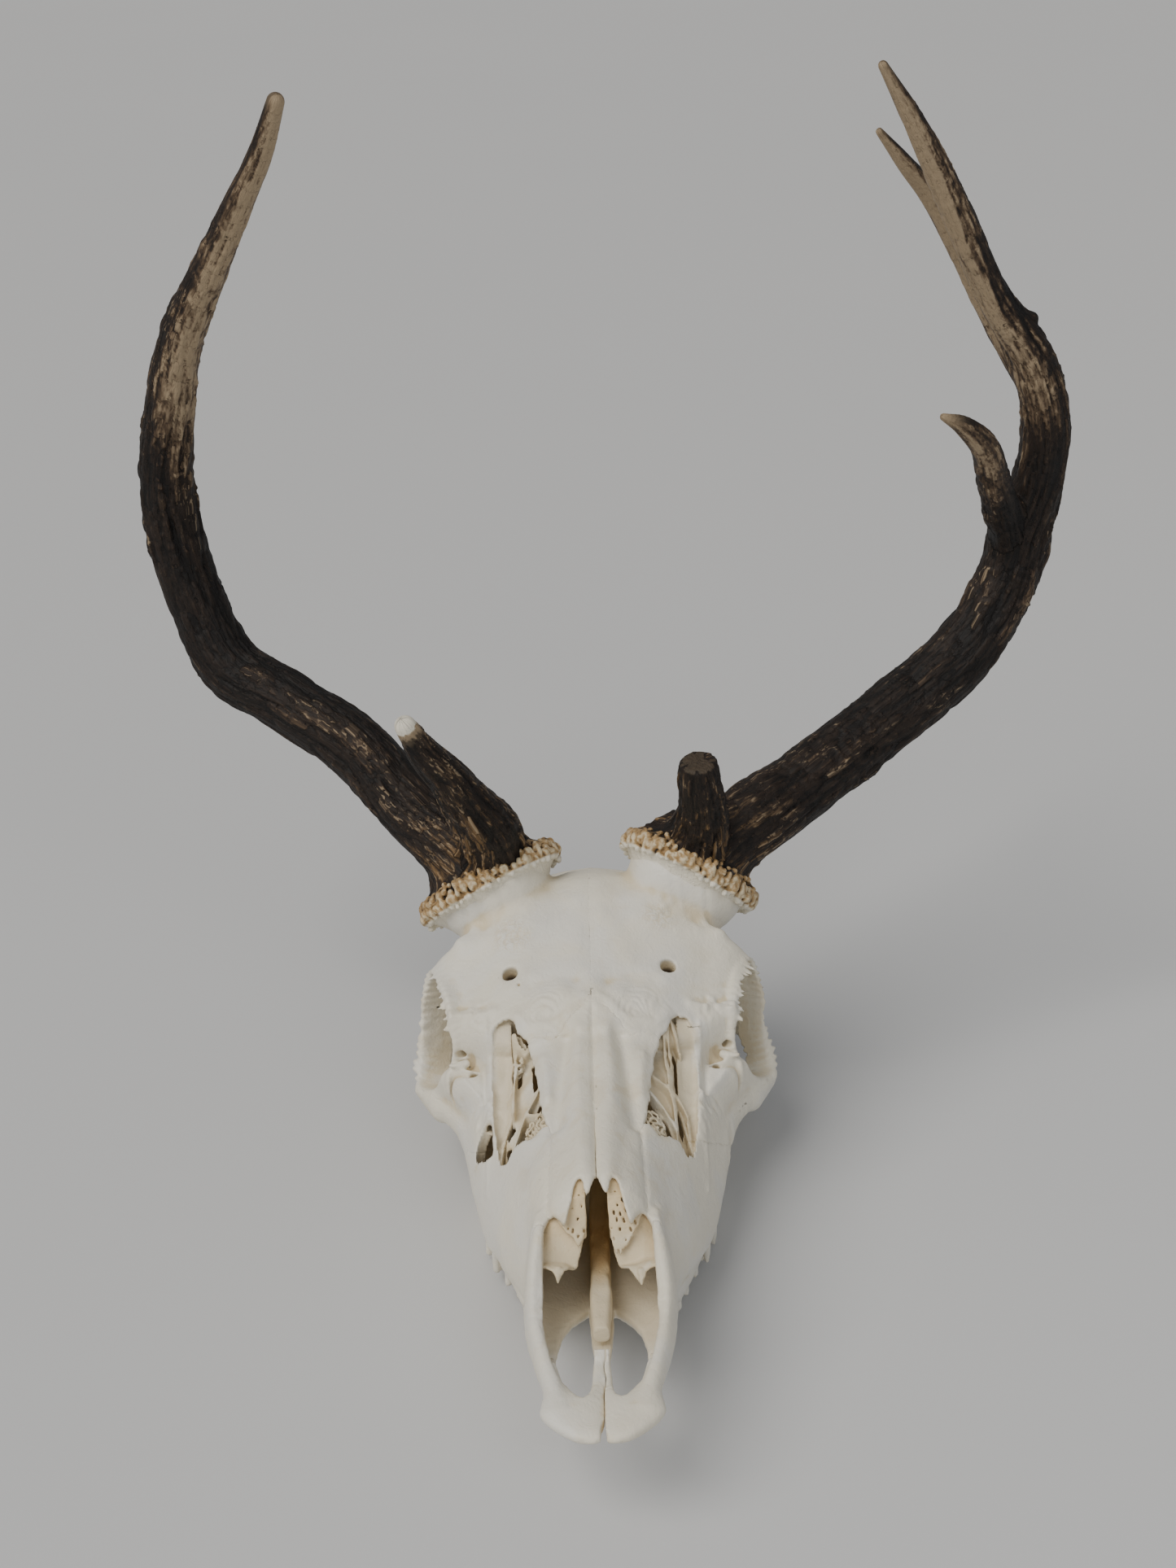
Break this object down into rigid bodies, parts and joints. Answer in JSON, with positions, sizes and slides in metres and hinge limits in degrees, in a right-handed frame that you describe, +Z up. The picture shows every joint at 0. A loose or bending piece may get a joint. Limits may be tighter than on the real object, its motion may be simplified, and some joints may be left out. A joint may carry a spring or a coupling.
{
  "type": "deer skull with antlers",
  "caption": "Red deer stag skull without its lower jaw, with both antlers, resting on its rear cheek teeth and the processes beside the neck joint.",
  "frame": {"origin": "bottom centre of the whole part's box, on the surface that it rests on", "axes": "+Z up; -Y towards the nose; +X to the right of the picture, which is the animal's left side. Left and right in node names are those of the picture"},
  "size_m": [0.4629, 0.4181, 0.5005],
  "materials": {
    "bone": "cleaned bone, near white, smooth and dull with a faint sheen",
    "nose_bone": "thin cream to ochre bone inside the nose, porous",
    "antler": "dark brown antler with pale ridges, beaded and grooved, dull"
  },
  "bodies": {
    "root": {"antler_left_base": "antler", "antler_left_brow_tine": "antler", "antler_left_lower_beam": "antler", "antler_left_upper_beam": "antler", "antler_right_base": "antler", "antler_right_brow_tine": "antler", "antler_right_front_tine": "antler", "antler_right_lower_beam": "antler", "antler_right_rear_tine": "antler", "antler_right_trez_tine": "antler", "antler_right_upper_beam": "antler", "concha_left": "nose_bone", "concha_right": "nose_bone", "ethmoid_left": "nose_bone", "ethmoid_right": "nose_bone", "frontal_left": "bone", "frontal_right": "bone", "lacrimal_left": "bone", "lacrimal_right": "bone", "maxilla_left": "bone", "maxilla_right": "bone", "nasal_left": "bone", "nasal_right": "bone", "occipital": "bone", "parietal": "bone", "premaxilla_left": "bone", "premaxilla_right": "bone", "sphenoid": "bone", "temporal_left": "bone", "temporal_right": "bone", "vomer": "nose_bone", "zygomatic_left": "bone", "zygomatic_right": "bone"}
  },
  "joints": []
}
